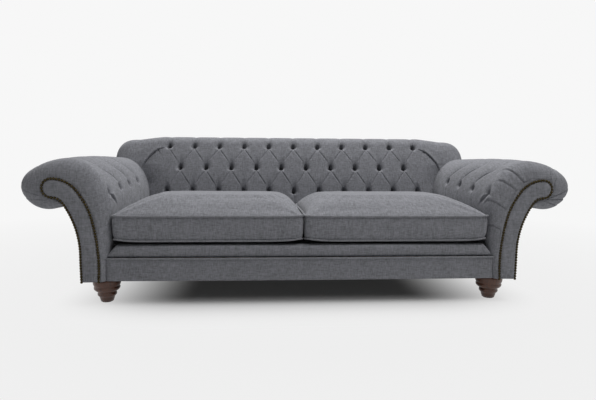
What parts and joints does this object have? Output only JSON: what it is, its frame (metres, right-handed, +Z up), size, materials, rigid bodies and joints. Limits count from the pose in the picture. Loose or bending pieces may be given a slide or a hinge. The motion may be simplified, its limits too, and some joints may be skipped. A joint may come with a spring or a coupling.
{
  "type": "chesterfield sofa",
  "caption": "Upholstered chesterfield sofa with deep-buttoned back and rolled arms, nail-trimmed facings, loose seat cushions that lift out and turned wooden feet.",
  "frame": {"origin": "on the floor, in the middle of the sofa's width and depth", "axes": "+X to the right as seen from the front, +Y from the front to the back, +Z up"},
  "size_m": [2.4608, 0.9801, 0.7913],
  "materials": {
    "upholstery": "woven linen look",
    "piping": "self piping",
    "covered_buttons": "self covered",
    "nail_heads": "antique, dark",
    "turned_wood": "dark stain, semi-gloss",
    "glides": "matt",
    "steel": "zinc plated",
    "webbing": "woven jute",
    "dust_cloth": "non-woven",
    "deck_cloth": "plain lining cloth",
    "foam": "open-cell foam",
    "frame_wood": "bare hardwood"
  },
  "bodies": {
    "sofa_body": {"back_buttons": "covered_buttons", "back_lower_rails": "frame_wood", "back_outside_panel": "upholstery", "back_pad": "upholstery", "back_top_rail": "frame_wood", "back_uprights": "frame_wood", "back_webbing": "webbing", "corner_blocks": "frame_wood", "dust_cover": "dust_cloth", "foot_bolts": "steel", "foot_tee_nuts": "steel", "front_border": "upholstery", "front_border_piping": "piping", "front_edge_roll": "upholstery", "front_left_foot": "turned_wood", "front_left_glide": "glides", "front_right_foot": "turned_wood", "front_right_glide": "glides", "front_seat_rail": "frame_wood", "left_arm_buttons": "covered_buttons", "left_arm_facing": "upholstery", "left_arm_front_board": "frame_wood", "left_arm_liner_rail": "frame_wood", "left_arm_nail_trim": "nail_heads", "left_arm_outside_panel": "upholstery", "left_arm_pad": "upholstery", "left_arm_rear_board": "frame_wood", "left_arm_top_rail": "frame_wood", "left_arm_webbing": "webbing", "left_side_rail": "frame_wood", "rear_left_foot": "turned_wood", "rear_left_glide": "glides", "rear_right_foot": "turned_wood", "rear_right_glide": "glides", "rear_seat_rail": "frame_wood", "right_arm_buttons": "covered_buttons", "right_arm_facing": "upholstery", "right_arm_front_board": "frame_wood", "right_arm_liner_rail": "frame_wood", "right_arm_nail_trim": "nail_heads", "right_arm_outside_panel": "upholstery", "right_arm_pad": "upholstery", "right_arm_rear_board": "frame_wood", "right_arm_top_rail": "frame_wood", "right_arm_webbing": "webbing", "right_side_rail": "frame_wood", "seat_cross_braces": "frame_wood", "seat_deck_pad": "deck_cloth", "seat_webbing": "webbing"},
    "left_seat_cushion": {"left_cushion_cover": "upholstery", "left_cushion_core": "foam", "left_cushion_piping": "piping"},
    "right_seat_cushion": {"right_cushion_cover": "upholstery", "right_cushion_core": "foam", "right_cushion_piping": "piping"}
  },
  "joints": [
    {"name": "left_cushion_lift", "type": "slide", "parent": "sofa_body", "child": "left_seat_cushion", "axis": [0, 0, 1], "range_m": [0, 0.3]},
    {"name": "right_cushion_lift", "type": "slide", "parent": "sofa_body", "child": "right_seat_cushion", "axis": [0, 0, 1], "range_m": [0, 0.3]}
  ]
}
